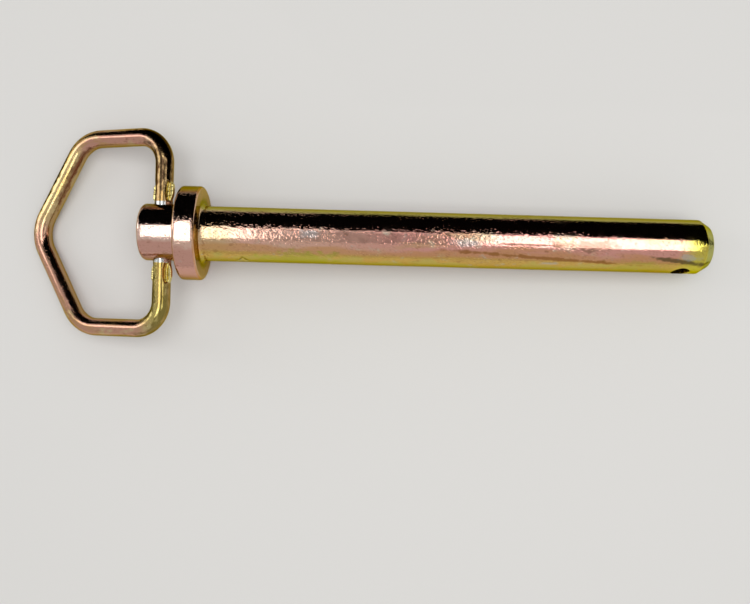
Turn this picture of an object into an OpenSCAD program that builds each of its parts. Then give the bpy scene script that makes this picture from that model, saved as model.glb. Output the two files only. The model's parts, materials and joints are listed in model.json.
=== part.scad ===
// Forged hitch pin with a swinging wire handle, lying on a flat surface.
// The shank's axis runs along X, with the tip towards +X. The collar's rim,
// the tip and the nose of the fallen handle touch the surface at Z = 0. The
// origin is on that surface, below the middle of the whole length.

/* [Shank] */
// Diameter of the shank
shank_d = 19; // [14:0.5:24]
// Length from the collar's seat to the end face
shank_l = 174.5; // [172:0.5:260]
// Length of the taper at the tip
tip_l = 3.4; // [2:0.1:5]
// How far the taper draws in on each side
tip_in = 2.1; // [1:0.1:4]
// Rounding at both ends of the taper
tip_round = 0.8; // [0.3:0.1:1.2]

/* [Collar] */
// Diameter of the collar
collar_d = 32.4; // [30:0.2:48]
// Thickness of the collar
collar_t = 7.4; // [5:0.2:14]
// Rounding of the collar's two rims
collar_round = 1.1; // [0.4:0.1:2]
// Fillet between the shank and the collar's seat
seat_fillet = 1.2; // [0.4:0.1:2]

/* [Head] */
// Diameter of the head
head_d = 19.6; // [14:0.2:26]
// Length of the head beyond the collar
head_l = 13.4; // [12:0.2:24]
// Rounding of the head's end
head_round = 1.6; // [0.5:0.1:2.2]
// Fillet between the head and the collar
head_fillet = 0.8; // [0.3:0.1:1.5]
// Distance from the collar to the middle of the cross hole
cross_from_collar = 6.7; // [5.6:0.1:7.2]
// Play between the wire and the cross hole, all round
cross_play = 0.35; // [0.2:0.05:0.6]
// Softening of both mouths of the cross hole
cross_rim = 0.4; // [0.2:0.1:0.8]

/* [Clip hole] */
// Diameter of the hole for the clip
clip_hole_d = 6; // [3:0.5:8]
// Distance from the collar's seat to the middle of the clip hole
clip_hole_at = 165; // [85:1:165]
// Turn of the clip hole about the shank, away from upright
clip_hole_turn = 75; // [0:1:90]
// Softening of both mouths of the clip hole
clip_hole_rim = 0.3; // [0.1:0.1:0.8]

/* [Handle] */
// Diameter of the handle's wire
wire_d = 6.3; // [4:0.1:7]
// Width of the handle over the outside of its wire
handle_w = 73; // [68:1:100]
// Distance from the cross hole to the corners where the sides turn in
shoulder_at = 32.7; // [28:0.1:50]
// Angle by which the sides turn in towards the nose
side_turn = 60; // [50:1:68]
// Bend radius of the wire's middle at the legs
leg_bend = 9.5; // [6:0.5:11]
// Bend radius of the wire's middle at the shoulders
shoulder_bend = 11.7; // [6:0.1:14]
// Bend radius of the wire's middle at the nose
nose_bend = 12.5; // [6:0.5:18]
// Gap between the wire's two ends inside the cross hole
end_gap = 5; // [2:0.5:8]
// Chamfer on the wire's ends
end_chamfer = 0.6; // [0.2:0.1:1]

/* [Crimps] */
// Bare wire between the head and each crimp
crimp_off = 0.7; // [0.5:0.1:2.5]
// Length of each crimp along the leg
crimp_l = 6.9; // [4:0.1:7.2]
// Width of the ridge of whole wire that stays in the middle
ridge_w = 3.3; // [2.4:0.1:3.8]
// How far each flat ear stands out past the wire
ear_out = 0.8; // [0.5:0.1:1.5]
// Thickness of the ears beside the ridge
ear_root_t = 1.8; // [1.4:0.1:2.6]
// Thickness of the ears at their outer edge
ear_edge_t = 1.2; // [0.8:0.1:1.8]
// Rounding of the ears' corners
ear_round = 1.6; // [0.8:0.1:2]
// Lean of the pressed faces' walls beside the ridge
ridge_draft = 9; // [4:1:20]
// Lean of the pressed faces' walls at both ends
end_draft = 22; // [15:1:40]
// Margin of whole ear beyond the pressed face at both ends
ear_margin = 0.6; // [0.3:0.1:1.2]

/* [Hidden] */
$fn = 96;

forged_steel = "#b08d5b";
wire_steel = "#c2a468";

// How far a cutter reaches past what it cuts.
overlap = 1;
// How far a straight of the wire reaches into the bends at its ends, and by
// how much it is thinner than they are.
lap = 0.4;
hair = 0.015;
// How much the ears stand above the face that the jaws press into them.
press = 0.1;

shank_r = shank_d / 2;
collar_r = collar_d / 2;
head_r = head_d / 2;
wire_r = wire_d / 2;
cross_r = wire_r + cross_play;
clip_r = clip_hole_d / 2;
head_end = collar_t + head_l;
cross_at = collar_t + cross_from_collar;

// The taper leans by tip_slope, and each rounding starts this far from the
// corner that it takes off.
tip_r = shank_r - tip_in;
tip_slope = atan2(tip_in, tip_l);
tip_back = tip_round * tan(tip_slope / 2);
end_back = tip_round * tan(45 - tip_slope / 2);

// The handle's outline: each half runs out of the cross hole along a leg,
// back along a side, and in along a slope to the nose on the middle line.
half_w = handle_w / 2 - wire_r;
leg_l = half_w - leg_bend - end_gap / 2 - lap;
shoulder_run = shoulder_bend * tan(side_turn / 2);
side_l = shoulder_at - leg_bend - shoulder_run;
slope_l = half_w / sin(side_turn) - shoulder_run - nose_bend / tan(side_turn);
nose_at = shoulder_at + half_w / tan(side_turn)
        - nose_bend / sin(side_turn) + nose_bend;

// The pin rests on its collar and on the start of its taper, so its axis
// leans, and the seat's centre stands at seat_h. The handle falls until its
// nose lands.
rest_run = shank_l - tip_l - tip_back + collar_round;
rest_rise = collar_r - collar_round - shank_r + tip_round;
lean = atan2(rest_rise, rest_run)
     + asin((collar_round - tip_round) / norm([rest_run, rest_rise]));
seat_h = collar_round + (collar_r - collar_round) * cos(lean)
       - collar_round * sin(lean);
cross_h = seat_h + cross_at * sin(lean);
fall = asin((cross_h - wire_r) / nose_at);

// Both ends of the whole object along X, measured from the seat's centre.
low_x = -cross_at * cos(lean) - nose_at * cos(fall) - wire_r;
high_x = (shank_l - tip_round) * cos(lean) + (tip_r - end_back) * sin(lean)
       + tip_round;

// Points of an arc about [x, y], for the lathe profile.
function arc(x, y, r, from, to, steps = 8) =
    [for (i = [0 : steps])
        let (a = from + (to - from) * i / steps)
        [x + r * cos(a), y + r * sin(a)]];

// Half section of the forging: [radius, distance from the seat].
forging_profile = concat(
    [[0, -head_end]],
    arc(head_r - head_round, head_round - head_end, head_round, -90, 0),
    arc(head_r + head_fillet, -collar_t - head_fillet, head_fillet, 180, 90),
    arc(collar_r - collar_round, collar_round - collar_t, collar_round, -90, 0),
    arc(collar_r - collar_round, -collar_round, collar_round, 0, 90),
    arc(shank_r + seat_fillet, seat_fillet, seat_fillet, -90, -180),
    arc(shank_r - tip_round, shank_l - tip_l - tip_back, tip_round, 0, tip_slope, 4),
    arc(tip_r - end_back, shank_l - tip_round, tip_round, tip_slope, 90, 5),
    [[0, shank_l]]);

// A round hole along Z, right through a bar of radius bar_r, with softened
// mouths.
module cross_bore(r, rim, bar_r) {
    cylinder(r = r, h = 2 * (bar_r + overlap), center = true);
    for (end = [0, 1])
        mirror([0, 0, end])
            translate([0, 0, bar_r - rim])
                cylinder(r1 = r, r2 = r + rim + overlap, h = rim + overlap);
}

// The forging on the X axis, with its seat at X = 0 and its tip towards +X.
module forging() {
    difference() {
        rotate([0, 90, 0])
            rotate_extrude()
                polygon(forging_profile);
        translate([-cross_at, 0, 0])
            rotate([90, 0, 0])
                cross_bore(cross_r, cross_rim, head_r);
        translate([clip_hole_at, 0, 0])
            rotate([clip_hole_turn, 0, 0])
                cross_bore(clip_r, clip_hole_rim, shank_r);
    }
}

// A straight length of wire along +X. It reaches lap into the bends at its
// ends and is thinner by a hair, so that it is never tangent to them there.
module wire_run(l) {
    translate([-lap, 0, 0])
        rotate([0, 90, 0])
            cylinder(r = wire_r - hair, h = l + 2 * lap);
}

// Wire that starts along +X: each step is [length, bend radius, turn], a
// straight and then a bend to the left. A turn of 0 ends the wire.
module wire_path(steps, i = 0) {
    l = steps[i][0];
    bend_r = steps[i][1];
    turn = steps[i][2];
    wire_run(l);
    if (turn > 0) {
        translate([l, bend_r, 0])
            rotate([0, 0, -90])
                rotate_extrude(angle = turn)
                    translate([bend_r, 0])
                        circle(r = wire_r);
        translate([l + bend_r * sin(turn), bend_r * (1 - cos(turn)), 0])
            rotate([0, 0, turn])
                wire_path(steps, i + 1);
    }
}

// What a crimp adds to a leg that runs along +X: two flat ears.
module ears() {
    out = wire_r + ear_out;
    reach = out - ear_round;
    linear_extrude(height = ear_root_t + 2 * press, center = true) {
        translate([ear_round, -out])
            square([crimp_l - 2 * ear_round, 2 * out]);
        translate([0, -reach])
            square([crimp_l, 2 * reach]);
        for (x = [ear_round, crimp_l - ear_round], side = [-1, 1])
            translate([x, side * reach])
                circle(r = ear_round);
    }
}

// One jaw of the crimping tool, above the ear on the +Y side. Its face slopes
// down to the ear's edge, and its walls lean out beside the ridge and at both
// ends.
module jaw() {
    top = wire_r + overlap;
    out = wire_r + ear_out;
    foot = ridge_w / 2 + (wire_r - ear_root_t / 2) * tan(ridge_draft);
    face_slope = (ear_root_t - ear_edge_t) / 2 / (out - foot);
    end_run = top * tan(end_draft);
    intersection() {
        rotate([90, 0, 90])
            translate([0, 0, -crimp_l])
                linear_extrude(height = 3 * crimp_l)
                    polygon([
                        [ridge_w / 2 - overlap * tan(ridge_draft), top],
                        [foot, ear_root_t / 2],
                        [out + overlap, ear_edge_t / 2 - overlap * face_slope],
                        [out + overlap, top]]);
        rotate([90, 0, 0])
            translate([0, 0, -out - 2 * overlap])
                linear_extrude(height = out + 2 * overlap)
                    polygon([
                        [ear_margin, 0],
                        [crimp_l - ear_margin, 0],
                        [crimp_l - ear_margin + end_run, top],
                        [ear_margin - end_run, top]]);
    }
}

// What a crimp takes from that leg: all four jaws.
module jaws() {
    for (side = [0, 1], face = [0, 1])
        mirror([0, side, 0])
            mirror([0, 0, face])
                jaw();
}

// What the chamfer takes off the end of a leg that runs along +X.
module end_cut() {
    cut_l = end_chamfer + overlap;
    translate([-overlap, 0, 0])
        rotate([0, 90, 0])
            difference() {
                cylinder(r = wire_r + overlap, h = cut_l);
                cylinder(r1 = wire_r - cut_l, r2 = wire_r, h = cut_l);
            }
}

// Its children on both legs, with the leg's own +X pointing out of the cross
// hole from y = at.
module both_legs(at) {
    for (side = [0, 1])
        mirror([0, side, 0])
            translate([0, at, 0])
                rotate([0, 0, 90])
                    children();
}

// The handle lying flat, with its legs along Y and its nose towards -X.
module flat_handle() {
    crimp_at = head_r + crimp_off;
    difference() {
        union() {
            translate([0, end_gap / 2 + lap, 0])
                rotate([0, 0, 90])
                    wire_path([
                        [leg_l, leg_bend, 90],
                        [side_l, shoulder_bend, side_turn],
                        [slope_l, nose_bend, 180 - 2 * side_turn],
                        [slope_l, shoulder_bend, side_turn],
                        [side_l, leg_bend, 90],
                        [leg_l, 0, 0]]);
            both_legs(crimp_at)
                ears();
        }
        both_legs(crimp_at)
            jaws();
        both_legs(end_gap / 2)
            end_cut();
    }
}

// From the seat's own axis to where the pin lies on the surface.
module laid() {
    translate([-(low_x + high_x) / 2, 0, seat_h])
        rotate([0, lean, 0])
            children();
}

module pin() {
    color(forged_steel)
        laid()
            forging();
}

module handle() {
    color(wire_steel)
        laid()
            translate([-cross_at, 0, 0])
                rotate([0, -lean - fall, 0])
                    flat_handle();
}

pin();
handle();
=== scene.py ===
"""Looks for a forged hitch pin with a swinging wire handle, yellow zinc plated."""

import json
import math

import bpy
import numpy as np
from mathutils import Matrix, Vector


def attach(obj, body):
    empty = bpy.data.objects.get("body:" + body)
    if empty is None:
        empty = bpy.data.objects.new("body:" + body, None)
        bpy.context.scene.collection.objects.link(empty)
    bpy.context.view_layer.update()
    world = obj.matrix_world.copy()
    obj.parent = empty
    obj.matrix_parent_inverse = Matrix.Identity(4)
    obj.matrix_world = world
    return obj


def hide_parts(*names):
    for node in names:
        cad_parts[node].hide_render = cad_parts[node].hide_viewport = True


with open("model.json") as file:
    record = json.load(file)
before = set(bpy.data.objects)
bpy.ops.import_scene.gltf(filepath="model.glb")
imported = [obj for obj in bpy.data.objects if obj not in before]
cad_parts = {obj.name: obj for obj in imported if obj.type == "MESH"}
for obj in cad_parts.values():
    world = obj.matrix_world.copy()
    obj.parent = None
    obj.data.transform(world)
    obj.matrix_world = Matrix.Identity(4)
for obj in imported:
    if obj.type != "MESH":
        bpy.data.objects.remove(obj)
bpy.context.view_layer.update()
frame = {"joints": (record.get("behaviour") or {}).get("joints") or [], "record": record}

MM = 0.001
TURN = 2 * math.pi

# Sizes of the forging in mm: its shank, tip, collar, head and the two holes.
SHANK_R, SHANK_L = 9.5, 174.5
TIP_L, TIP_IN, TIP_ROUND = 3.4, 2.1, 0.8
COLLAR_R, COLLAR_T, COLLAR_ROUND, SEAT_FILLET = 16.2, 7.4, 1.1, 1.2
HEAD_R, HEAD_L, HEAD_ROUND, HEAD_FILLET = 9.8, 13.4, 1.6, 0.8
CROSS_R, CROSS_RIM, CLIP_RIM = 3.5, 0.4, 0.3
HEAD_END = -COLLAR_T - HEAD_L

# Sizes of the handle in mm and degrees: its wire, bends, ends and crimps.
WIRE_R, HANDLE_HALF, SHOULDER_AT, SIDE_TURN = 3.15, 33.35, 32.7, 60
LEG_BEND, SHOULDER_BEND, NOSE_BEND = 9.5, 11.7, 12.5
WIRE_END, END_CHAMFER = 2.5, 0.6
CRIMP_AT, CRIMP_L, RIDGE_W, EAR_OUT = 10.5, 6.9, 3.3, 0.8
EAR_ROOT_T, EAR_EDGE_T, EAR_ROUND, EAR_MARGIN = 1.8, 1.2, 1.6, 0.6
RIDGE_DRAFT, END_DRAFT, PRESS = 9, 22, 0.1

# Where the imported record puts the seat, the clip hole and the handle's hinge.
mounts = {m["name"]: m for m in frame["record"]["mounts"]}
hinge = Vector(frame["joints"][0]["pos_m"])
along_pin = Vector(mounts["seat"]["axis"]).normalized()
seat = Vector(mounts["seat"]["pos_m"])
seat.y = 0.0
across = Vector((0, 1, 0))
above_pin = along_pin.cross(across)
lean = math.atan2(-along_pin.z, along_pin.x)
clip_at = Vector(mounts["clip_hole"]["pos_m"])
clip_axis = Vector(mounts["clip_hole"]["axis"]).normalized()
CLIP_R = mounts["clip_hole"]["dims"]["r_mm"]
clip_t = (clip_at - seat).dot(along_pin) / MM


def linear(hex_colour):
    """An sRGB hex colour as the linear values that a socket takes."""
    out = []
    for i in (1, 3, 5):
        c = int(hex_colour[i : i + 2], 16) / 255
        out.append(c / 12.92 if c <= 0.04045 else ((c + 0.055) / 1.055) ** 2.4)
    return (*out, 1.0)


def add(tree, kind, inputs=None, **settings):
    """Adds one node with its settings, and sets or links its inputs."""
    node = tree.nodes.new(kind)
    for name, value in settings.items():
        setattr(node, name, value)
    for name, value in (inputs or {}).items():
        if isinstance(value, bpy.types.NodeSocket):
            tree.links.new(value, node.inputs[name])
        else:
            node.inputs[name].default_value = value
    return node


def placed(name, data):
    """A new object of this mesh, lamp or camera, at the origin of the scene."""
    o = bpy.data.objects.new(name, data)
    bpy.context.scene.collection.objects.link(o)
    return o


# The camera looks almost straight down on the pin. Its turns are in radians,
# its lens and sensor in mm, and it sees nothing nearer than NEAREST metres.
CAMERA_AT_MM = (9.61, -24.43, 263.4)
CAMERA_TURNS = (("Z", 0.0253), ("X", 0.0098), ("Y", 0.0184))
LENS, SENSOR_W, NEAREST = 34.5552, 36.0, 0.01

cam_data = bpy.data.cameras.new("camera")
cam_data.lens, cam_data.sensor_width, cam_data.clip_start = LENS, SENSOR_W, NEAREST
cam = placed("camera", cam_data)
stance = Matrix.Translation(Vector(CAMERA_AT_MM) * MM)
for about, radians in CAMERA_TURNS:
    stance = stance @ Matrix.Rotation(radians, 4, about)
cam.matrix_world = stance
bpy.context.scene.camera = cam


ARC_STEP, ARC_STEPS = 11, 4  # degrees in one step of a rounding, fewest steps
LAST_STEP = 0.98  # share of a straight past which no more points are set


def rounded(corners, pitch):
    """Points along a line whose corners [x, y, radius] are rounded off.

    pitch(x) is the longest step that a straight may have there.
    """
    arcs = []
    for i, (x, y, r) in enumerate(corners):
        here = Vector((x, y))
        if r == 0:
            arcs.append([here])
            continue
        back = (Vector(corners[i - 1][:2]) - here).normalized()
        on = (Vector(corners[i + 1][:2]) - here).normalized()
        half = back.angle(on) / 2
        centre = here + (back + on).normalized() * r / math.sin(half)
        first = here + back * r / math.tan(half) - centre
        last = here + on * r / math.tan(half) - centre
        swept = math.pi - 2 * half
        steps = max(ARC_STEPS, math.ceil(math.degrees(swept) / ARC_STEP))
        arc = []
        for k in range(steps + 1):
            before, after = math.sin(swept * (1 - k / steps)), math.sin(swept * k / steps)
            arc.append(centre + (first * before + last * after) / math.sin(swept))
        arcs.append(arc)
    out = list(arcs[0])
    for arc in arcs[1:]:
        a, b = out[-1], arc[0]
        done, whole = 0.0, (b - a).length
        while True:
            at = a.lerp(b, done / whole) if whole else a
            done += pitch(at.x)
            if done >= whole * LAST_STEP:
                break
            out.append(a.lerp(b, done / whole))
        out += arc
    return [tuple(point) for point in out]


def rail_object(name, centres, sides, ups, radii, skins, bares):
    """The rings' centres as a mesh whose attributes carry each ring's frame."""
    mesh = bpy.data.meshes.new(name)
    mesh.from_pydata([tuple(c) for c in centres], [], [])
    for key, values in (("side", sides), ("up", ups)):
        field = mesh.attributes.new(key, "FLOAT_VECTOR", "POINT")
        field.data.foreach_set("vector", np.array(values, dtype=np.float32).ravel())
    run = [0.0]
    for a, b in zip(centres, centres[1:]):
        run.append(run[-1] + (Vector(b) - Vector(a)).length)
    fields = {"ring_radius": radii, "skin": skins, "bare": bares, "run": run}
    for key, values in fields.items():
        field = mesh.attributes.new(key, "FLOAT", "POINT")
        field.data.foreach_set("value", np.array(values, dtype=np.float32))
    return placed(name, mesh)


SEAM_GAP = 1e-6  # metres between points that are one
SHARP_EDGE = 0.7  # radians of bend from which an edge is not smoothed
# Each relief, how fast it changes along the run against across it, where less
# draws it out into lines, and its detail. RELIEF_TOP and RELIEF_FOOT are the
# noise's values at no depth and at the full depth.
RELIEFS = (("Pebble", 1.0, 2.0), ("Wave", 0.35, 1.0), ("Line", 0.03, 2.0))
RELIEF_TOP, RELIEF_FOOT = 0.68, 0.32


def skin_tree(bored):
    """Geometry nodes that sweep rings along a rail and roughen their skin.

    The rail's points carry each ring's frame and radius. The relief only goes
    inwards: pebbles of scale, a slow wave, and lines along the run.
    """
    name = "swept_skin_bored" if bored else "swept_skin"
    tree = bpy.data.node_groups.new(name, "GeometryNodeTree")
    face = tree.interface
    face.new_socket("Geometry", in_out="INPUT", socket_type="NodeSocketGeometry")
    kinds = {"Rail": "Object", "Rings": "Int", "Sectors": "Int", "Seed": "Float"}
    kinds["Crowding"] = "Float"
    for what, _, _ in RELIEFS:
        kinds |= {f"{what} Size": "Float", f"{what} Depth": "Float"}
    kinds["Material"] = "Material"
    if bored:
        kinds["Bores"] = "Object"
    for key, kind in kinds.items():
        face.new_socket(key, in_out="INPUT", socket_type="NodeSocket" + kind)
    face.new_socket("Geometry", in_out="OUTPUT", socket_type="NodeSocketGeometry")
    given = add(tree, "NodeGroupInput").outputs

    # Each grid point is one place on one ring: its ring and its angle. Crowding
    # draws the places on a ring together at the flanks, where the crimps are.
    grid = add(tree, "GeometryNodeMeshGrid", {"Vertices X": given["Rings"]})
    columns = add(tree, "FunctionNodeIntegerMath", {0: given["Sectors"], 1: 1}).outputs[0]
    tree.links.new(columns, grid.inputs["Vertices Y"])
    index = add(tree, "GeometryNodeInputIndex").outputs[0]
    ring = add(
        tree, "FunctionNodeIntegerMath", {0: index, 1: columns}, operation="DIVIDE_FLOOR"
    ).outputs[0]
    column = add(
        tree, "FunctionNodeIntegerMath", {0: index, 1: columns}, operation="MODULO"
    ).outputs[0]
    part = add(
        tree, "ShaderNodeMath", {0: column, 1: given["Sectors"]}, operation="DIVIDE"
    ).outputs[0]
    even = add(tree, "ShaderNodeMath", {0: part, 1: TURN}, operation="MULTIPLY").outputs[0]
    twice = add(tree, "ShaderNodeMath", {0: part, 1: 2 * TURN}, operation="MULTIPLY").outputs[0]
    wave = add(tree, "ShaderNodeMath", {0: twice}, operation="SINE").outputs[0]
    shift = add(
        tree, "ShaderNodeMath", {0: wave, 1: given["Crowding"]}, operation="MULTIPLY"
    ).outputs[0]
    angle = add(tree, "ShaderNodeMath", {0: even, 1: shift}, operation="SUBTRACT").outputs[0]
    cosine = add(tree, "ShaderNodeMath", {0: angle}, operation="COSINE").outputs[0]
    sine = add(tree, "ShaderNodeMath", {0: angle}, operation="SINE").outputs[0]

    rail = add(tree, "GeometryNodeObjectInfo", {"Object": given["Rail"]}).outputs["Geometry"]
    found = {}
    for key, kind in (
        ("centre", "FLOAT_VECTOR"),
        ("side", "FLOAT_VECTOR"),
        ("up", "FLOAT_VECTOR"),
        ("ring_radius", "FLOAT"),
        ("skin", "FLOAT"),
        ("bare", "FLOAT"),
        ("run", "FLOAT"),
    ):
        if key == "centre":
            field = add(tree, "GeometryNodeInputPosition").outputs[0]
        else:
            field = add(
                tree, "GeometryNodeInputNamedAttribute", {"Name": key}, data_type=kind
            ).outputs[0]
        pick = add(tree, "GeometryNodeSampleIndex", data_type=kind)
        tree.links.new(rail, pick.inputs["Geometry"])
        tree.links.new(field, pick.inputs["Value"])
        tree.links.new(ring, pick.inputs["Index"])
        found[key] = pick.outputs[0]

    # The ring's own Y and Z, and from them the place along the rail.
    place, flat = found["centre"], {"X": found["run"]}
    for axis, share, way in (("Y", cosine, "side"), ("Z", sine, "up")):
        arm = add(
            tree, "ShaderNodeMath", {0: share, 1: found["ring_radius"]}, operation="MULTIPLY"
        ).outputs[0]
        step = add(
            tree, "ShaderNodeVectorMath", {0: found[way], "Scale": arm}, operation="SCALE"
        ).outputs[0]
        place = add(tree, "ShaderNodeVectorMath", {0: place, 1: step}).outputs[0]
        flat[axis] = arm
    straight = add(tree, "ShaderNodeCombineXYZ", flat).outputs[0]

    made = add(
        tree, "GeometryNodeSetPosition", {"Geometry": grid.outputs["Mesh"], "Position": place}
    ).outputs[0]
    for key, value, kind in (
        ("straight", straight, "FLOAT_VECTOR"),
        ("skin", found["skin"], "FLOAT"),
        ("bare", found["bare"], "FLOAT"),
    ):
        made = add(
            tree,
            "GeometryNodeStoreNamedAttribute",
            {"Geometry": made, "Name": key, "Value": value},
            data_type=kind,
            domain="POINT",
        ).outputs[0]
    made = add(
        tree, "GeometryNodeMergeByDistance", {"Geometry": made, "Distance": SEAM_GAP}
    ).outputs[0]
    made = add(tree, "GeometryNodeFlipFaces", {"Mesh": made}).outputs[0]

    # Relief, read off the straightened bar so that it follows every bend.
    spot = add(
        tree, "GeometryNodeInputNamedAttribute", {"Name": "straight"}, data_type="FLOAT_VECTOR"
    ).outputs[0]
    rough = add(
        tree, "GeometryNodeInputNamedAttribute", {"Name": "skin"}, data_type="FLOAT"
    ).outputs[0]
    total = None
    for what, stretch, detail in RELIEFS:
        drawn = add(
            tree, "ShaderNodeVectorMath", {0: spot, 1: (stretch, 1.0, 1.0)}, operation="MULTIPLY"
        ).outputs[0]
        fine = add(
            tree, "ShaderNodeMath", {0: 1.0, 1: given[f"{what} Size"]}, operation="DIVIDE"
        ).outputs[0]
        noise = add(
            tree,
            "ShaderNodeTexNoise",
            {"Vector": drawn, "W": given["Seed"], "Scale": fine, "Detail": detail},
            noise_dimensions="4D",
        ).outputs[0]
        noise = add(
            tree,
            "ShaderNodeMapRange",
            {"Value": noise, "From Min": RELIEF_TOP, "From Max": RELIEF_FOOT},
        ).outputs[0]
        sunk = add(
            tree, "ShaderNodeMath", {0: given[f"{what} Depth"], 1: -1.0}, operation="MULTIPLY"
        ).outputs[0]
        if what != "Wave":
            sunk = add(
                tree, "ShaderNodeMath", {0: sunk, 1: rough}, operation="MULTIPLY"
            ).outputs[0]
        total = add(
            tree, "ShaderNodeMath", {0: noise, 1: sunk, 2: total or 0.0}, operation="MULTIPLY_ADD"
        ).outputs[0]
    normal = add(tree, "GeometryNodeInputNormal").outputs[0]
    sunk = add(
        tree, "ShaderNodeVectorMath", {0: normal, "Scale": total}, operation="SCALE"
    ).outputs[0]
    made = add(tree, "GeometryNodeSetPosition", {"Geometry": made, "Offset": sunk}).outputs[0]

    if bored:
        cutters = add(tree, "GeometryNodeObjectInfo", {"Object": given["Bores"]})
        cut = add(tree, "GeometryNodeMeshBoolean", operation="DIFFERENCE", solver="EXACT")
        tree.links.new(made, cut.inputs["Mesh 1"])
        tree.links.new(cutters.outputs["Geometry"], cut.inputs["Mesh 2"])
        made = cut.outputs["Mesh"]
    bend = add(tree, "GeometryNodeInputMeshEdgeAngle").outputs["Unsigned Angle"]
    sharp = add(
        tree, "FunctionNodeCompare", {"A": bend, "B": SHARP_EDGE}, operation="GREATER_THAN"
    ).outputs[0]
    made = add(
        tree, "GeometryNodeSetShadeSmooth", {0: made, "Shade Smooth": True}, domain="FACE"
    ).outputs[0]
    made = add(
        tree,
        "GeometryNodeSetShadeSmooth",
        {0: made, "Selection": sharp, "Shade Smooth": False},
        domain="EDGE",
    ).outputs[0]
    made = add(tree, "GeometryNodeRealizeInstances", {0: made}).outputs[0]
    made = add(
        tree, "GeometryNodeSetMaterial", {"Geometry": made, "Material": given["Material"]}
    ).outputs[0]
    add(tree, "NodeGroupOutput", {"Geometry": made})
    return tree


def grown(name, tree, values):
    """The tree's result for these named inputs, as a plain mesh object."""
    seed = placed(name + "_seed", bpy.data.meshes.new(name + "_seed"))
    modifier = seed.modifiers.new("skin", "NODES")
    modifier.node_group = tree
    for item in tree.interface.items_tree:
        if item.in_out == "INPUT" and item.name in values:
            modifier[item.identifier] = values[item.name]
    depsgraph = bpy.context.evaluated_depsgraph_get()
    mesh = bpy.data.meshes.new_from_object(seed.evaluated_get(depsgraph), depsgraph=depsgraph)
    seed.modifiers.clear()
    bpy.data.objects.remove(seed)
    return placed(name, mesh)


def places_of(mesh):
    """Each point's place in metres, and its place on the straightened bar in mm."""
    place = np.empty(len(mesh.vertices) * 3)
    mesh.vertices.foreach_get("co", place)
    flat = np.empty(len(mesh.vertices) * 3)
    mesh.attributes["straight"].data.foreach_get("vector", flat)
    return place.reshape(-1, 3), flat.reshape(-1, 3) / MM


def move_to(mesh, place):
    """Puts the mesh's points at these places in metres."""
    mesh.vertices.foreach_set("co", place.ravel())
    mesh.update()


# --- The forging ---------------------------------------------------------

# Steps between the forging's rings in mm: round the clip hole, where the skin
# is pebbled, and on the smoother rest and the flat ends.
CLIP_STEP, PEBBLED_STEP, SMOOTH_STEP = 0.34, 0.42, 0.6
CLIP_MARGIN, PEBBLED_TO, NO_GAP = 1.5, 70, 0.01


def forging_pitch(t):
    """Step between rings at t from the seat along the pin."""
    if t < HEAD_END + NO_GAP or t > SHANK_L - NO_GAP:
        return SMOOTH_STEP
    if abs(t - clip_t) < CLIP_R + CLIP_MARGIN:
        return CLIP_STEP
    return PEBBLED_STEP if t < PEBBLED_TO else SMOOTH_STEP


profile = rounded(
    [
        (HEAD_END, 0.0, 0),
        (HEAD_END, HEAD_R, HEAD_ROUND),
        (-COLLAR_T, HEAD_R, HEAD_FILLET),
        (-COLLAR_T, COLLAR_R, COLLAR_ROUND),
        (0.0, COLLAR_R, COLLAR_ROUND),
        (0.0, SHANK_R, SEAT_FILLET),
        (SHANK_L - TIP_L, SHANK_R, TIP_ROUND),
        (SHANK_L, SHANK_R - TIP_IN, TIP_ROUND),
        (SHANK_L, 0.0, 0),
    ],
    forging_pitch,
)

# Share of the relief that the shank and the head keep, and its fade towards
# the tip: where it starts, its length in mm and what it takes away.
SHANK_RELIEF, HEAD_RELIEF = 0.66, 0.42
FADE_FROM, FADE_L, FADE_SHARE = 108, 45, 0.65
CORNER_LINE_W = 1.1  # mm from a corner to where its gold-orange line ends


def forging_skin(t):
    """How rough the skin is: most on the shank by the collar, little at the tip."""
    fade = min(max((t - FADE_FROM) / FADE_L, 0.0), 1.0)
    whole = SHANK_RELIEF if t > 0 else HEAD_RELIEF
    return whole * (1 - FADE_SHARE * fade * fade * (3 - 2 * fade))


def forging_corner_line(t, r):
    """How near a point is to a corner that gets a gold-orange line: the collar's rims and the
    head's end.
    """
    corners = ((0.0, COLLAR_R), (-COLLAR_T, COLLAR_R), (HEAD_END, HEAD_R))
    return max(max(0.0, 1 - math.hypot(t - a, r - b) / CORNER_LINE_W) for a, b in corners)


pin_rail = rail_object(
    "pin_rail",
    [seat + along_pin * t * MM for t, r in profile],
    [across] * len(profile),
    [above_pin] * len(profile),
    [r * MM for t, r in profile],
    [forging_skin(t) for t, r in profile],
    # on the forging, the bare values mark its corners, which get a gold-orange line
    [forging_corner_line(t, r) for t, r in profile],
)

BORE_SIDES, MOUTH_STEPS = 112, 6
# A mouth's rounding in multiples of its rim: its start, its depth and its
# widening. Outside the bar the cutter goes on for BORE_REACH mm and widens.
MOUTH_START, MOUTH_DEPTH, MOUTH_OUT = 3, 1.6, 1.3
BORE_REACH, BORE_FLARE = 1.0, 0.9


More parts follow.
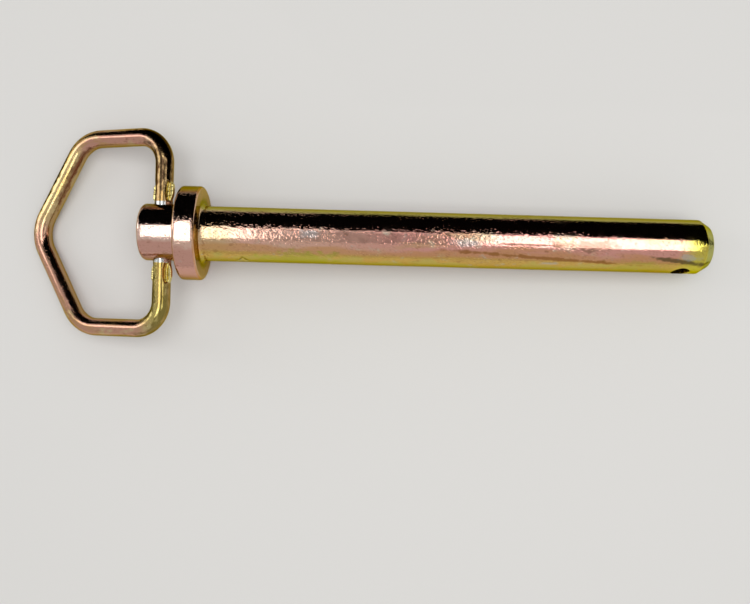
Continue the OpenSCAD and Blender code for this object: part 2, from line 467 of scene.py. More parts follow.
def bore_cutter(at, axis, radius, rim, bar_r):
    """A closed cutter for a hole across the bar, widened at both mouths."""
    axis = axis.normalized()
    one = axis.orthogonal().normalized()
    two = axis.cross(one)
    deep, wide = MOUTH_DEPTH * rim, MOUTH_OUT * rim
    half = [(0.0, radius), (bar_r - MOUTH_START * rim, radius)]
    for k in range(1, MOUTH_STEPS + 1):
        a = k / MOUTH_STEPS * math.pi / 2
        half.append((bar_r - deep + deep * math.sin(a), radius + wide * (1 - math.cos(a))))
    half.append((bar_r + BORE_REACH, radius + wide + BORE_REACH * BORE_FLARE))
    stations = [(-h, r) for h, r in reversed(half[1:])] + half
    sides = BORE_SIDES
    verts, faces = [], []
    for h, r in stations:
        for k in range(sides):
            a = TURN * k / sides
            verts.append(at + (axis * h + (one * math.cos(a) + two * math.sin(a)) * r) * MM)
    for i in range(len(stations) - 1):
        here, there = i * sides, (i + 1) * sides
        for k in range(sides):
            j = (k + 1) % sides
            faces.append((here + k, here + j, there + j, there + k))
    faces.append(tuple(range(sides))[::-1])
    faces.append(tuple(range((len(stations) - 1) * sides, len(stations) * sides)))
    return verts, faces


# Both cutters in one mesh: the cross hole in the head and the clip hole.
bore_mesh = bpy.data.meshes.new("bores")
all_verts, all_faces = [], []
for at, axis, radius, rim, bar_r in (
    (Vector((hinge.x, 0, hinge.z)), across, CROSS_R, CROSS_RIM, HEAD_R),
    (clip_at, clip_axis, CLIP_R, CLIP_RIM, SHANK_R),
):
    verts, faces = bore_cutter(at, axis, radius, rim, bar_r)
    all_faces += [tuple(v + len(all_verts) for v in f) for f in faces]
    all_verts += verts
bore_mesh.from_pydata([tuple(v) for v in all_verts], [], all_faces)
bores = placed("bores", bore_mesh)

forging_plate = bpy.data.materials.new("yellow_zinc_on_forged_steel")
wire_plate = bpy.data.materials.new("yellow_zinc_on_drawn_wire")

pin = grown(
    "plated_pin",
    skin_tree(True),
    {
        "Rail": pin_rail,
        "Rings": len(profile),
        "Sectors": 176,
        "Seed": 3.7,
        "Pebble Size": 0.85 * MM,
        "Pebble Depth": 0.08 * MM,
        "Wave Size": 7.0 * MM,
        "Wave Depth": 0.06 * MM,
        "Line Size": 0.9 * MM,
        "Line Depth": 0.02 * MM,
        "Material": forging_plate,
        "Bores": bores,
    },
)

NICKED_FROM_R = 5  # nicks are pressed only this far from the pin's axis, in mm
# Nicks: (place along, degrees round, half its length and width in mm, depth, turn).
NICKS = [
    (13.1, 161.5, 1.9, 0.42, 0.32, -58),
    (15.2, 161.5, 1.9, 0.42, 0.3, 61),
    (-16.6, 118, 0.9, 0.3, 0.1, 60),
    (-3.4, 62, 1.0, 0.35, 0.12, 10),
    (-4.6, 70, 0.7, 0.3, 0.12, -35),
]


def press_nicks(piece):
    """Pushes the listed nicks into the forging's skin."""
    place, flat = places_of(piece.data)
    radius = np.hypot(flat[:, 1], flat[:, 2])
    around = np.arctan2(flat[:, 2], flat[:, 1])
    inward = -(np.outer(np.cos(around), across) + np.outer(np.sin(around), above_pin))
    run = (place - np.array(seat)) @ np.array(along_pin) / MM
    for at, degrees, long_mm, wide_mm, depth, turned in NICKS:
        on = run - at
        off = (around - math.radians(degrees)) * radius
        a = math.radians(turned)
        u, v = on * math.cos(a) + off * math.sin(a), off * math.cos(a) - on * math.sin(a)
        sunk = depth * np.exp(-((u / long_mm) ** 4) - (v / wide_mm) ** 2)
        place += inward * (sunk * (radius > NICKED_FROM_R))[:, None] * MM
    move_to(piece.data, place)


press_nicks(pin)

# --- The handle ----------------------------------------------------------

# The handle falls about its hinge until the wire of its nose lies on the floor.
nose_at = (
    SHOULDER_AT
    + HANDLE_HALF / math.tan(math.radians(SIDE_TURN))
    - NOSE_BEND / math.sin(math.radians(SIDE_TURN))
    + NOSE_BEND
)
fall = math.asin((hinge.z / MM - WIRE_R) / nose_at)
to_nose = Vector((-math.cos(fall), 0, -math.sin(fall)))
above_handle = Vector((-math.sin(fall), 0, math.cos(fall)))

# Steps between the handle's rings in mm: inside the head, on the crimps and
# their margins before and after, on the other straights and round the bends.
HIDDEN_STEP, CRIMP_STEP, WIRE_STEP, BEND_STEP = 0.8, 0.09, 0.45, 0.42
BEFORE_CRIMP, AFTER_CRIMP, SHORTEST_STEP = 2, 1.3, 0.02


def leg_pitch(q):
    """Step along a leg at q from the pin's axis."""
    if q < CRIMP_AT - BEFORE_CRIMP:
        return HIDDEN_STEP
    return CRIMP_STEP if q < CRIMP_AT + CRIMP_L + AFTER_CRIMP else WIRE_STEP


def handle_stations():
    """Ring centres (p towards the nose, q across) and their headings in degrees."""
    side_turn = math.radians(SIDE_TURN)
    run = SHOULDER_BEND * math.tan(math.radians(SIDE_TURN / 2))
    leg = HANDLE_HALF - LEG_BEND - WIRE_END
    side = SHOULDER_AT - LEG_BEND - run
    slope = HANDLE_HALF / math.sin(side_turn) - run - NOSE_BEND / math.tan(side_turn)
    steps = [
        (leg, LEG_BEND, 90),
        (side, SHOULDER_BEND, SIDE_TURN),
        (slope, NOSE_BEND, 180 - 2 * SIDE_TURN),
        (slope, SHOULDER_BEND, SIDE_TURN),
        (side, LEG_BEND, 90),
        (leg, 0, 0),
    ]
    at, heading = Vector((0.0, WIRE_END)), 90.0
    out = []
    for i, (length, bend_r, turn) in enumerate(steps):
        way = Vector((math.cos(math.radians(heading)), math.sin(math.radians(heading))))
        done = 0.0
        while done < length - SHORTEST_STEP:
            out.append((at + way * done, heading))
            if i == 0:
                done += leg_pitch(WIRE_END + done)
            elif i == len(steps) - 1:
                done += leg_pitch(WIRE_END + length - done)
            else:
                done += WIRE_STEP
        at = at + way * length
        if turn:
            inward = Vector((way.y, -way.x))
            centre = at + inward * bend_r
            count = max(2, round(math.radians(turn) * bend_r / BEND_STEP))
            for k in range(count):
                a = math.radians(turn) * k / count
                at = centre - inward * bend_r * math.cos(a) + way * bend_r * math.sin(a)
                out.append((at, heading - math.degrees(a)))
            a = math.radians(turn)
            at = centre - inward * bend_r * math.cos(a) + way * bend_r * math.sin(a)
            heading -= turn
    out.append((at, heading))
    return out


# The wire's ends are flat, closed by rings of these shares of its radius.
END_RINGS = (0.0, 0.35, 0.65, 0.81)
stations = handle_stations()
first, last = stations[0], stations[-1]
rings = [(*first, WIRE_R * share) for share in END_RINGS]
for place, heading in stations:
    end = min((place - first[0]).length, (place - last[0]).length)
    if end >= NO_GAP:
        rings.append((place, heading, WIRE_R - max(END_CHAMFER - end, 0)))
rings += [(*last, WIRE_R * share) for share in reversed(END_RINGS)]

# The wire lost its colour where it was held for the crimping: wholly up to
# HELD_TO on both legs, and partly on the crimps. A leg is below LEG_P.
HELD_TO, LEG_P = HEAD_R + 0.7, 1
HELD_BARE, CRIMP_BARE = 1.0, 0.3


def bared(p, q):
    """How bare the wire is at (p, q) in the handle's plane."""
    if p > LEG_P or abs(q) > CRIMP_AT + CRIMP_L:
        return 0.0
    return HELD_BARE if abs(q) < HELD_TO else CRIMP_BARE


def in_handle(p, q):
    """The place of (p, q) in the handle's own plane at rest, in metres."""
    return hinge + (to_nose * p + across * q) * MM


headings = [math.radians(heading) for _, heading, _ in rings]
handle_rail = rail_object(
    "handle_rail",
    [in_handle(place.x, place.y) for place, _, _ in rings],
    [to_nose * math.sin(a) - across * math.cos(a) for a in headings],
    [above_handle] * len(rings),
    [r * MM for _, _, r in rings],
    [1.0] * len(rings),
    [bared(place.x, place.y) for place, _, _ in rings],
)
handle = grown(
    "plated_handle",
    skin_tree(False),
    {
        "Rail": handle_rail,
        "Rings": len(rings),
        "Sectors": 148,
        "Seed": 8.1,
        "Crowding": 0.28,
        "Pebble Size": 0.9 * MM,
        "Pebble Depth": 0.02 * MM,
        "Wave Size": 5.0 * MM,
        "Wave Depth": 0.06 * MM,
        "Line Size": 0.5 * MM,
        "Line Depth": 0.012 * MM,
        "Material": wire_plate,
    },
)


# What the jaws left beside the ridge, in mm: how far its walls stand off the
# solid's, how much they swell towards both ends, and a groove at their foot
# with its depth, its place from the wall and its half width.
WALL_OFF, WALL_SWELL = 0.12, 0.42
GROOVE_DEPTH, GROOVE_AT, GROOVE_W = 0.2, 0.14, 0.12
# A skewed mark has its place this far out, and cuts this share into the wall.
MARK_OUT_AT, MARK_IN_WALL = 3, 0.5
# The rays that look for the metal's skin start inside the ridge.
RAY_FROM, RAY_STEP, RAY_MARGIN = 1.4, 0.02, 0.1


def ear_reach(x, cuts):
    """How far out an ear reaches at x along the crimp, with its corners cut.

    cuts: (length, depth, power) of the corner at the head's end and at the other.
    """
    out = WIRE_R + EAR_OUT
    near = np.clip(np.minimum(x, CRIMP_L - x), 0, EAR_ROUND)
    reach = out - EAR_ROUND + np.sqrt(np.maximum(EAR_ROUND**2 - (EAR_ROUND - near) ** 2, 0))
    for start, (length, depth, power) in ((x, cuts[0]), (CRIMP_L - x, cuts[1])):
        left = np.clip(1 - start / length, 0, 1)
        reach = np.minimum(reach, out - depth * left**power)
    return np.where((x >= 0) & (x <= CRIMP_L), reach, 0)


def crimp_radius(x, theta, ears):
    """Polar radius of a crimped leg, for places x along it and angles theta.

    A ray from the wire's middle stops where it first leaves the metal. ears
    holds the ear on the collar's side and the one on the nose's side.
    """
    x, theta = np.meshgrid(x, theta, indexing="ij")
    cosine, sine = np.cos(theta), np.abs(np.sin(theta))
    both = list(zip(ears, (cosine <= 0, cosine > 0)))
    along = (x - CRIMP_L / 2) / (CRIMP_L / 2)
    draft = math.tan(math.radians(RIDGE_DRAFT))
    foot = RIDGE_W / 2 + (WIRE_R - EAR_ROOT_T / 2) * draft
    slope = (EAR_ROOT_T - EAR_EDGE_T) / 2 / (WIRE_R + EAR_OUT - foot)
    reach = np.zeros_like(x)
    for ear, here in both:
        reach = np.where(here, ear_reach(x, ear["cuts"]), reach)
    radius = np.full_like(x, RAY_FROM)
    inside = np.ones_like(x, dtype=bool)
    for rho in np.arange(RAY_FROM, WIRE_R + EAR_OUT + RAY_MARGIN, RAY_STEP):
        # u is the distance out along the ears, w the height over their middle.
        u, w = rho * np.abs(cosine), rho * sine
        metal = (rho <= WIRE_R) | ((w <= EAR_ROOT_T / 2 + PRESS) & (u <= reach))
        wall = foot + WALL_OFF - (w - EAR_ROOT_T / 2) * draft + WALL_SWELL * along**2
        groove = GROOVE_DEPTH * np.exp(-(((u - wall - GROOVE_AT) / GROOVE_W) ** 2))
        face = EAR_ROOT_T / 2 - slope * (u - foot) - groove
        for ear, here in both:
            mark = np.zeros_like(x)
            for middle, width, depth, skew in ear["marks"]:
                mark += depth * np.exp(-(((x - middle - skew * (u - MARK_OUT_AT)) / width) ** 2))
            face = face - np.where(here, mark, 0)
            wall = wall - np.where(here, MARK_IN_WALL * mark, 0)
        run = w * math.tan(math.radians(END_DRAFT))
        jaw = (u > wall) & (w > face) & (x > EAR_MARGIN - run) & (x < CRIMP_L - EAR_MARGIN + run)
        inside &= metal & ~jaw
        radius = np.where(inside, rho, radius)
    return radius


def softened(field, steps):
    """The field with its edges rounded off by repeated short averages."""
    for _ in range(steps):
        field = (np.roll(field, 1, 1) + 2 * field + np.roll(field, -1, 1)) / 4
        field[1:-1] = (field[:-2] + 2 * field[1:-1] + field[2:]) / 4
    return field


# The crimps of the first and the last leg, each with its two ears. Every ear has
# two cut corners, as in ear_reach, and the jaws' teeth left marks across it:
# (place along the crimp, half width, depth, skew), in mm.
FIRST_CRIMP = (
    {
        "cuts": [(3.2, 1.2, 1.6), (2.0, 0.5, 2.0)],
        "marks": [(2.3, 0.14, 0.07, 0.1), (3.8, 0.14, 0.08, 0.1), (5.2, 0.14, 0.06, 0.1)],
    },
    {
        "cuts": [(0.8, 0.8, 1.0), (2.2, 1.3, 1.0)],
        "marks": [(3.3, 0.3, 0.22, 0.9), (5.4, 0.12, 0.05, 0.2)],
    },
)
LAST_CRIMP = (
    {
        "cuts": [(3.0, 1.0, 1.7), (2.6, 0.9, 1.7)],
        "marks": [(1.4 + 0.72 * k, 0.13, 0.08, 0.3) for k in range(7)],
    },
    {
        "cuts": [(2.2, 1.2, 1.0), (0.6, 0.5, 1.0)],
        "marks": [(2.9 + 0.75 * k, 0.13, 0.08, -0.2) for k in range(4)] + [(6.1, 0.25, 0.3, 0.0)],
    },
)
# The crimped stretch is worked out on a grid of places along and around it,
# softened a little, and set this much higher than the relief leaves the wire.
CRIMP_GRID, CRIMP_AROUND, BESIDE_CRIMP, SOFTENINGS = 0.045, 480, 1.8, 2
CRIMP_RAISED = 0.006


def press_crimps(piece):
    """Presses both crimps into the handle's straight legs."""
    place, flat = places_of(piece.data)
    theta = np.arctan2(flat[:, 2], flat[:, 1]) % TURN
    out = np.outer(np.cos(theta), to_nose) + np.outer(np.sin(theta), above_handle)
    whole = flat[:, 0].max()
    grid_x = np.arange(-BESIDE_CRIMP, CRIMP_L + BESIDE_CRIMP, CRIMP_GRID)
    grid_a = np.arange(CRIMP_AROUND) * TURN / CRIMP_AROUND
    for ears, x in ((FIRST_CRIMP, flat[:, 0]), (LAST_CRIMP, whole - flat[:, 0])):
        x = x + WIRE_END - CRIMP_AT
        field = softened(crimp_radius(grid_x, grid_a, ears), SOFTENINGS)
        near = np.nonzero((x > grid_x[0]) & (x < grid_x[-1] - CRIMP_GRID))[0]
        i = (x[near] - grid_x[0]) / CRIMP_GRID
        j = theta[near] / TURN * CRIMP_AROUND
        i0, j0 = i.astype(int), j.astype(int)
        fi, fj = i - i0, j - j0
        this, other = j0 % CRIMP_AROUND, (j0 + 1) % CRIMP_AROUND
        r = (field[i0, this] * (1 - fi) + field[i0 + 1, this] * fi) * (1 - fj)
        r += (field[i0, other] * (1 - fi) + field[i0 + 1, other] * fi) * fj
        grow = r - WIRE_R + CRIMP_RAISED
        place[near] += out[near] * grow[:, None] * MM
    move_to(piece.data, place)


press_crimps(handle)

# --- Finishes ------------------------------------------------------------

HEEL_FROM = -0.2  # mm from the seat: behind it are the collar and the head
# A mark's border: how far the blotches shift it, and the distances, in its own
# half sizes, between which it fades in.
MARK_RAGGED, MARK_EDGE, MARK_FULL = 2.4, 2.3, 1.6
NOISE_LOW, NOISE_HIGH = 0.3, 0.7  # the range that a noise mostly keeps to
# The clouds' range, and how strong the grain is at both its ends.
CLOUD_LOW, CLOUD_HIGH, GRAIN_LOW, GRAIN_HIGH = 0.35, 0.65, 0.5, 1.3


def plated(material, local, looks):
    """Yellow chromate over zinc: a thin skin whose colour drifts from rose and
    gold to yellow-green, worn pale in spots, over the steel's own grain.

    local is the place in mm in the bar's own frame: X along it, Z up. looks
    holds the finish's values, with a radius just inside the bar as bar_r.
    """
    tree = material.node_tree
    shader = tree.nodes["Principled BSDF"]
    shader.inputs["Metallic"].default_value = 1.0
    shader.inputs["Specular Tint"].default_value = linear(looks["grazing"])

    # Noises named for what they tell apart, with their feature sizes in mm.
    drift = {}
    for key, (long_mm, wide_mm, detail, seed, turned) in looks["drifts"].items():
        way = add(
            tree,
            "ShaderNodeVectorRotate",
            {"Vector": local, "Angle": math.radians(turned)},
            rotation_type="Z_AXIS",
        ).outputs[0]
        drawn = add(
            tree,
            "ShaderNodeVectorMath",
            {0: way, 1: (1 / long_mm, 1 / wide_mm, 1 / wide_mm)},
            operation="MULTIPLY",
        ).outputs[0]
        drift[key] = add(
            tree,
            "ShaderNodeTexNoise",
            {"Vector": drawn, "W": seed, "Scale": 1.0, "Detail": detail},
            noise_dimensions="4D",
        ).outputs[0]

    # Fields that say where on the bar a point is: how far along it, how far
    # from its axis, how far to one side (-1 to 1) or to either (steep), the
    # same on the collar and head alone (heel, rim), and the bare attribute: on
    # the wire where it lost its colour, on the forging how near a corner it is.
    along, across_it, up = add(tree, "ShaderNodeSeparateXYZ", {0: local}).outputs
    flank = add(
        tree, "ShaderNodeMath", {0: across_it, 1: across_it}, operation="MULTIPLY"
    ).outputs[0]
    rise = add(tree, "ShaderNodeMath", {0: up, 1: up}, operation="MULTIPLY").outputs[0]
    square = add(tree, "ShaderNodeMath", {0: flank, 1: rise}).outputs[0]
    radius = add(tree, "ShaderNodeMath", {0: square, 1: 0.5}, operation="POWER").outputs[0]
    outer = add(
        tree, "ShaderNodeMath", {0: radius, 1: looks["bar_r"]}, operation="MAXIMUM"
    ).outputs[0]
    side = add(tree, "ShaderNodeMath", {0: across_it, 1: outer}, operation="DIVIDE").outputs[0]
    steep = add(tree, "ShaderNodeMath", {0: side}, operation="ABSOLUTE").outputs[0]
    bare = add(tree, "ShaderNodeAttribute", attribute_name="bare").outputs["Fac"]
    behind = add(
        tree, "ShaderNodeMath", {0: along, 1: HEEL_FROM}, operation="LESS_THAN"
    ).outputs[0]
    heel = add(tree, "ShaderNodeMath", {0: behind, 1: side}, operation="MULTIPLY").outputs[0]
    rim = add(tree, "ShaderNodeMath", {0: heel, 1: radius}, operation="MULTIPLY").outputs[0]
    ear = add(tree, "ShaderNodeMath", {0: steep, 1: bare}, operation="MULTIPLY").outputs[0]
    around = add(tree, "ShaderNodeMath", {0: up, 1: across_it}, operation="ARCTAN2").outputs[0]
    field = {
        "rim": rim,
        "ear": ear,
        "side": side,
        "steep": steep,
        "heel": heel,
        "along": along,
        "radius": radius,
        "bare": bare,
        **drift,
    }

    # Each layer of colour lies where its field, shifted by a drift, passes
    # from one value to another.
    colour = add(tree, "ShaderNodeRGB").outputs[0]
    colour.default_value = linear(looks["base"])
    for hex_colour, amount, key, low, high, shake, swing in looks["layers"]:
        moved = add(tree, "ShaderNodeMath", {0: drift[shake], 1: -0.5}).outputs[0]
        moved = add(
            tree, "ShaderNodeMath", {0: moved, 1: swing, 2: field[key]}, operation="MULTIPLY_ADD"
        ).outputs[0]
        mask = add(
            tree,
            "ShaderNodeMapRange",
            {"Value": moved, "From Min": low, "From Max": high, "To Max": amount},
            interpolation_type="SMOOTHSTEP",
        ).outputs[0]
        colour = add(
            tree,
            "ShaderNodeMix",
            {"Factor": mask, 6: colour, 7: linear(hex_colour)},
            data_type="RGBA",
        ).outputs[2]

    # Single marks, each longer than wide, with ragged borders.
    for hex_colour, amount, at, degrees, long_mm, wide_mm, lean_by in looks["marks"]:
        on = add(tree, "ShaderNodeMath", {0: along, 1: at}, operation="SUBTRACT").outputs[0]
        off = add(
            tree, "ShaderNodeMath", {0: around, 1: math.radians(degrees)}, operation="SUBTRACT"
        ).outputs[0]
        leant = {0: on, 1: -math.radians(lean_by), 2: off}
        off = add(tree, "ShaderNodeMath", leant, operation="MULTIPLY_ADD").outputs[0]
        off = add(
            tree, "ShaderNodeMath", {0: off, 1: looks["bar_r"] / wide_mm}, operation="MULTIPLY"
        ).outputs[0]
        on = add(tree, "ShaderNodeMath", {0: on, 1: 1 / long_mm}, operation="MULTIPLY").outputs[0]
        both = add(tree, "ShaderNodeCombineXYZ", {"X": on, "Y": off}).outputs[0]
        far = add(tree, "ShaderNodeVectorMath", {0: both}, operation="LENGTH").outputs["Value"]
        ragged = add(
            tree,
            "ShaderNodeMath",
            {0: drift["blotch"], 1: MARK_RAGGED, 2: far},
            operation="MULTIPLY_ADD",
        ).outputs[0]
        mask = add(
            tree,
            "ShaderNodeMapRange",
            {"Value": ragged, "From Min": MARK_EDGE, "From Max": MARK_FULL, "To Max": amount},
            interpolation_type="SMOOTHSTEP",
        ).outputs[0]
        colour = add(
            tree,
            "ShaderNodeMix",
            {"Factor": mask, 6: colour, 7: linear(hex_colour)},
            data_type="RGBA",
        ).outputs[2]
    tree.links.new(colour, shader.inputs["Base Color"])

    low, high, key = looks["roughness"]
    span = {"From Min": NOISE_LOW, "From Max": NOISE_HIGH, "To Min": low, "To Max": high}
    dull = add(tree, "ShaderNodeMapRange", {"Value": drift[key], **span}).outputs[0]
    tree.links.new(dull, shader.inputs["Roughness"])

    # Fine pits and lines, strongest where the skin is rough and clouded.
    rough = add(tree, "ShaderNodeAttribute", attribute_name="skin").outputs["Fac"]
    span = {"From Min": CLOUD_LOW, "From Max": CLOUD_HIGH}
    span |= {"To Min": GRAIN_LOW, "To Max": GRAIN_HIGH}
    uneven = add(tree, "ShaderNodeMapRange", {"Value": drift["cloud"], **span}).outputs[0]
    rough = add(tree, "ShaderNodeMath", {0: rough, 1: uneven}, operation="MULTIPLY").outputs[0]
    normal = None
    for key, depth_mm, low, high in looks["bumps"]:
        pit = add(
            tree, "ShaderNodeMapRange", {"Value": drift[key], "From Min": high, "From Max": low}
        ).outputs[0]
        bump = add(
            tree, "ShaderNodeBump", {"Height": pit, "Distance": depth_mm * MM, "Strength": rough}
        )
        if normal is not None:
            tree.links.new(normal, bump.inputs["Normal"])
        normal = bump.outputs[0]
    tree.links.new(normal, shader.inputs["Normal"])


for material in (forging_plate, wire_plate):
    material.use_nodes = True

# Barrel-plated forging: a bright metal that mirrors its surroundings, broken
# up by the pebbles of the hammered skin that it keeps under the colour. The
# finest grain is drawn 0.4 to 0.8 mm wide, coarser than it is, so that it shows.
tree = forging_plate.node_tree
spot = add(tree, "ShaderNodeTexCoord").outputs["Object"]
spot = add(
    tree,
    "ShaderNodeMapping",
    {"Vector": spot, "Location": tuple(seat), "Rotation": (0.0, lean, 0.0)},
    vector_type="TEXTURE",
).outputs[0]
spot = add(tree, "ShaderNodeVectorMath", {0: spot, "Scale": 1 / MM}, operation="SCALE").outputs[0]
plated(
    forging_plate,
    spot,
    {
        "bar_r": SHANK_R - 0.4,
        "base": "#eaaa9e",
        "grazing": "#c9c070",
        "drifts": {
            # name: length and width in mm, detail, seed, degrees turned
            "streak": (26.0, 5.0, 3.0, 1.3, 0),
            "cloud": (9.0, 6.0, 2.0, 4.1, 0),
            "blotch": (2.6, 2.0, 3.0, 7.7, 0),
            "speck": (0.8, 0.6, 1.0, 2.9, 30),
            "scuff": (1.5, 0.4, 2.0, 6.2, 38),
            "draw": (9.0, 0.4, 2.0, 5.3, 0),
        },
        "layers": [
            # colour, amount, field, from, to, shaken by, by how much
            ("#dcb488", 0.7, "streak", 0.5, 0.66, "cloud", 0.3),
            ("#ecbeaa", 0.85, "along", 75, 35, "cloud", 40),
            ("#dabc92", 0.85, "along", 16, 5, "cloud", 14),
            ("#e2d2b4", 0.5, "cloud", 0.56, 0.7, "blotch", 0.4),
            # painted sheen: the flank facing -Y turns gold-brown, gold and then yellow-green
            # towards its edge
            ("#d8a060", 0.65, "side", -0.4, -0.62, "streak", 1.2),
            ("#d8b45c", 0.85, "side", -0.62, -0.76, "streak", 0.35),
            ("#c8ba66", 0.75, "side", -0.8, -0.92, "cloud", 0.9),
            ("#d8d048", 0.85, "along", 160, 168, "cloud", 12),
            # painted sheen: a yellow-green strip along the flank facing +Y
            ("#b6ae6a", 0.95, "side", 0.7, 0.8, "streak", 0.2),
            ("#eeccc0", 0.95, "along", -5, -8, "cloud", 2),
            ("#eac4b4", 0.95, "radius", 11, 13, "cloud", 1.0),
            # painted shade and reflection on the collar and head: the flank facing -Y darker
            # pink, a red-brown strip along the flank facing +Y, olive-gold on the collar
            ("#d8a294", 0.9, "heel", -0.3, -0.46, "blotch", 0.2),
            ("#8c5c3e", 0.9, "heel", 0.7, 0.8, "streak", 0.2),
            ("#a28a51", 0.9, "rim", 12.6, 13.8, "streak", 2.0),
            ("#c8d4cc", 0.3, "blotch", 0.6, 0.75, "cloud", 0.3),
            ("#8c5a38", 0.3, "blotch", 0.38, 0.28, "streak", 0.3),
            ("#a07058", 0.3, "scuff", 0.54, 0.66, "cloud", 0.3),
            # gold-orange lines along the forging's corners, carried in its bare attribute
            ("#d8a058", 0.7, "bare", 0.3, 0.7, "blotch", 0.5),
            ("#b8bc80", 0.8, "along", SHANK_L - TIP_L, SHANK_L - TIP_L + 1, "blotch", 1.0),
        ],
        "marks": [
            # colour, amount, place along, degrees round, half its length and
            # width in mm, degrees that it leans per mm
            # painted sheen: yellow-green patches on the flank facing -Y
            ("#bcb64c", 0.75, 33, 153, 16, 4.6, 0.0),
            ("#c0b450", 0.6, 150, 150, 12, 3.4, 0.0),
            # painted reflection: a long brown streak along the shank's lower flank
            ("#a87038", 0.8, 114, 128, 38, 0.8, 0.39),
            # painted reflection: a thin dark line along the middle of the highlight
            ("#54402f", 0.8, 111, 100.5, 20, 0.4, 0.03),
            # painted shade: a duller, browner patch where the highlight falls
            ("#a8806c", 0.7, 131, 99, 13, 1.9, 0.0),
            ("#6a5a38", 0.85, 163, 128, 13, 1.0, 0.7),
            ("#d0dce0", 0.5, 37, 90, 4.0, 1.6, 0.0),
            ("#ccd4d0", 0.5, 90, 100, 6, 1.5, 0.3),
            ("#c0c4c0", 0.5, 118, 143, 4, 0.9, 0.0),
            ("#c0c8c4", 0.5, 166, 119, 5, 1.3, 0.4),
            # painted shade: dark lines along the two nicks
            ("#5c4a34", 0.7, 13.1, 161.5, 1.3, 0.6, -9.8),
            ("#5c4a34", 0.7, 15.2, 161.5, 1.3, 0.6, 10.5),
        ],
        # from, to, told apart by; and drift, depth in mm, from, to
        "roughness": (0.05, 0.14, "blotch"),
        "bumps": [
            ("speck", 0.05, 0.52, 0.68),
            ("scuff", 0.018, 0.54, 0.66),
            ("draw", 0.03, 0.0, 1.0),
        ],
    },
)

# Wire, bent and then plated: smoother, in long unbroken reflections, with the
# die's lines along it, drawn 0.25 mm wide, coarser than they are, so that they
# show. Its values are in the forging's order.
tree = wire_plate.node_tree
spot = add(tree, "ShaderNodeAttribute", attribute_name="straight").outputs["Vector"]
spot = add(tree, "ShaderNodeVectorMath", {0: spot, "Scale": 1 / MM}, operation="SCALE").outputs[0]
plated(
    wire_plate,
    spot,
    {
        "bar_r": WIRE_R - 0.3,
        "base": "#cf9c8a",
        "grazing": "#c9c070",
        "drifts": {
            "streak": (22.0, 2.2, 3.0, 1.3, 0),
            "cloud": (7.0, 3.0, 2.0, 4.1, 0),
            "blotch": (1.8, 1.1, 3.0, 7.7, 0),
            "speck": (0.5, 0.35, 2.0, 2.9, 0),
            "draw": (6.0, 0.25, 2.0, 5.3, 0),
        },
        "layers": [
            ("#a08858", 0.85, "along", 36, 24, "cloud", 8),
            ("#dcc48c", 0.85, "along", 56, 66, "cloud", 8),
            ("#cf9c8a", 0.9, "along", 86, 98, "cloud", 8),
            ("#c4b868", 0.85, "along", 156, 166, "cloud", 8),
            ("#c09c58", 0.6, "streak", 0.5, 0.62, "cloud", 0.3),
            ("#d8cc9c", 0.5, "cloud", 0.55, 0.72, "blotch", 0.4),
            # painted sheen: olive-brown along both flanks of the wire, where it is seen at a
            # grazing angle from above
            ("#a88858", 0.8, "steep", 0.82, 0.95, "streak", 0.5),
            ("#e0d08c", 0.9, "ear", 0.2, 0.27, "streak", 0.0),
            ("#8c5a38", 0.4, "blotch", 0.38, 0.28, "streak", 0.3),
            ("#d0d2d2", 1.0, "bare", 0.4, 0.6, "blotch", 0.5),
        ],
        "marks": [
            # painted reflections: dark and brown streaks along the first leg, the slope
            # after it and the last leg, where dark surroundings would be mirrored
            ("#3c2418", 0.9, 26, 152, 14, 2.4, 0.0),
            ("#3c2418", 0.9, 19, 62, 16, 1.3, 0.0),
            ("#3c2c20", 0.8, 21, 103, 13, 0.7, 0.0),
            ("#1c1408", 1.0, 76, 135, 24, 1.7, 0.0),
            ("#7a4430", 0.75, 70, 28, 17, 1.2, 0.0),
            ("#54441c", 0.8, 168, 60, 16, 1.2, 0.0),
            ("#7c6c30", 0.7, 166, 148, 15, 1.8, 0.0),
        ],
        "roughness": (0.06, 0.16, "blotch"),
        "bumps": [("speck", 0.02, 0.55, 0.7), ("draw", 0.015, 0.0, 1.0)],
    },
)


# --- Stage and light -----------------------------------------------------

MATT = 0.8  # roughness of the floor and the cards
FLOOR = [(-3, -3, 0), (3, -3, 0), (3, 3, 0), (-3, 3, 0)]
BLACK, GREY = "#050505", "#b4b4b4"

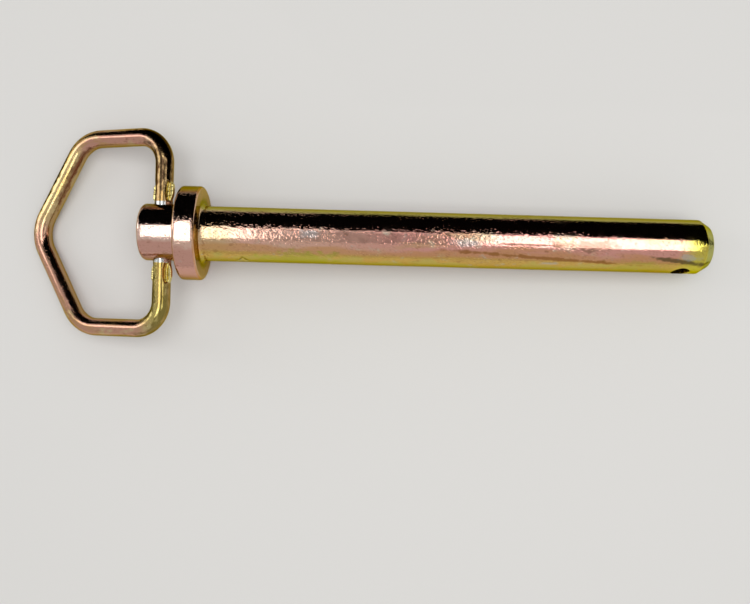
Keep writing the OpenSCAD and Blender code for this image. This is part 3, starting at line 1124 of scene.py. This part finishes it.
# Cards that only the metal's reflections see, with their corners in metres:
# dark surroundings beyond the pin and to its right, and a dimmer patch above.
CARDS = (
    ("dark_card_y", BLACK, [(-1.2, 0.7, 0), (0.9, 0.7, 0), (0.9, 0.7, 1.7), (-1.2, 0.7, 1.7)]),
    ("dark_card_x", BLACK, [(0.9, 0.08, 0), (0.9, 0.7, 0), (0.9, 0.7, 1.5), (0.9, 0.08, 1.5)]),
    (
        "dark_card_low",
        BLACK,
        [
            (-1.2, 0.09, 0.001),
            (-0.04, 0.09, 0.001),
            (0, 0.05, 0.001),
            (0.9, 0.05, 0.001),
            (0.9, 0.7, 0.001),
            (-1.2, 0.7, 0.001),
        ],
    ),
    (
        "grey_card",
        GREY,
        [(-0.065, -0.14, 0.3), (0.1, -0.14, 0.3), (0.1, 0.1, 0.3), (-0.065, 0.1, 0.3)],
    ),
)


def slab(name, corners, colour):
    """A flat, matt piece of the stage, and its shader."""
    mesh = bpy.data.meshes.new(name)
    mesh.from_pydata(corners, [], [list(range(len(corners)))])
    material = bpy.data.materials.new(name)
    material.use_nodes = True
    shader = material.node_tree.nodes["Principled BSDF"]
    shader.inputs["Base Color"].default_value = linear(colour)
    shader.inputs["Metallic"].default_value = 0.0
    shader.inputs["Roughness"].default_value = MATT
    mesh.materials.append(material)
    o = placed(name, mesh)
    return o, shader


slab("floor", FLOOR, "#d8d7d6")
for name, colour, corners in CARDS:
    card, shader = slab(name, corners, colour)
    card.visible_camera = card.visible_diffuse = card.visible_shadow = False
    shader.inputs["Specular IOR Level"].default_value = 0.0

# A pale room, evenly lit.
world = bpy.data.worlds.new("studio")
bpy.context.scene.world = world
world.use_nodes = True
room = world.node_tree.nodes["Background"].inputs
room["Color"].default_value = linear("#d2d1cd")
room["Strength"].default_value = 0.86


def softbox(name, place, aim, size, radiance):
    """A rectangular lamp of this size in metres that glows evenly."""
    data = bpy.data.lights.new(name, "AREA")
    data.shape = "RECTANGLE"
    data.size, data.size_y = size
    data.energy = radiance * math.pi * size[0] * size[1]
    lamp = placed(name, data)
    lamp.location = place
    lamp.rotation_euler = (Vector(aim) - Vector(place)).to_track_quat("-Z", "Y").to_euler()
    lamp.visible_camera = False


softbox("overhead", (0.12, -0.01, 0.8), (0.12, -0.01, 0), (0.86, 0.62), 2.3)
softbox("side", (-1.0, 0.22, 0.42), (-0.1, 0.01, 0.01), (0.26, 0.78), 1.7)

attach(pin, "pin")
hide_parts("pin")
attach(handle, "handle")
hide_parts("handle")
for helper in (pin_rail, handle_rail, bores):
    bpy.data.objects.remove(helper)

bpy.context.scene.view_settings.view_transform = "Standard"
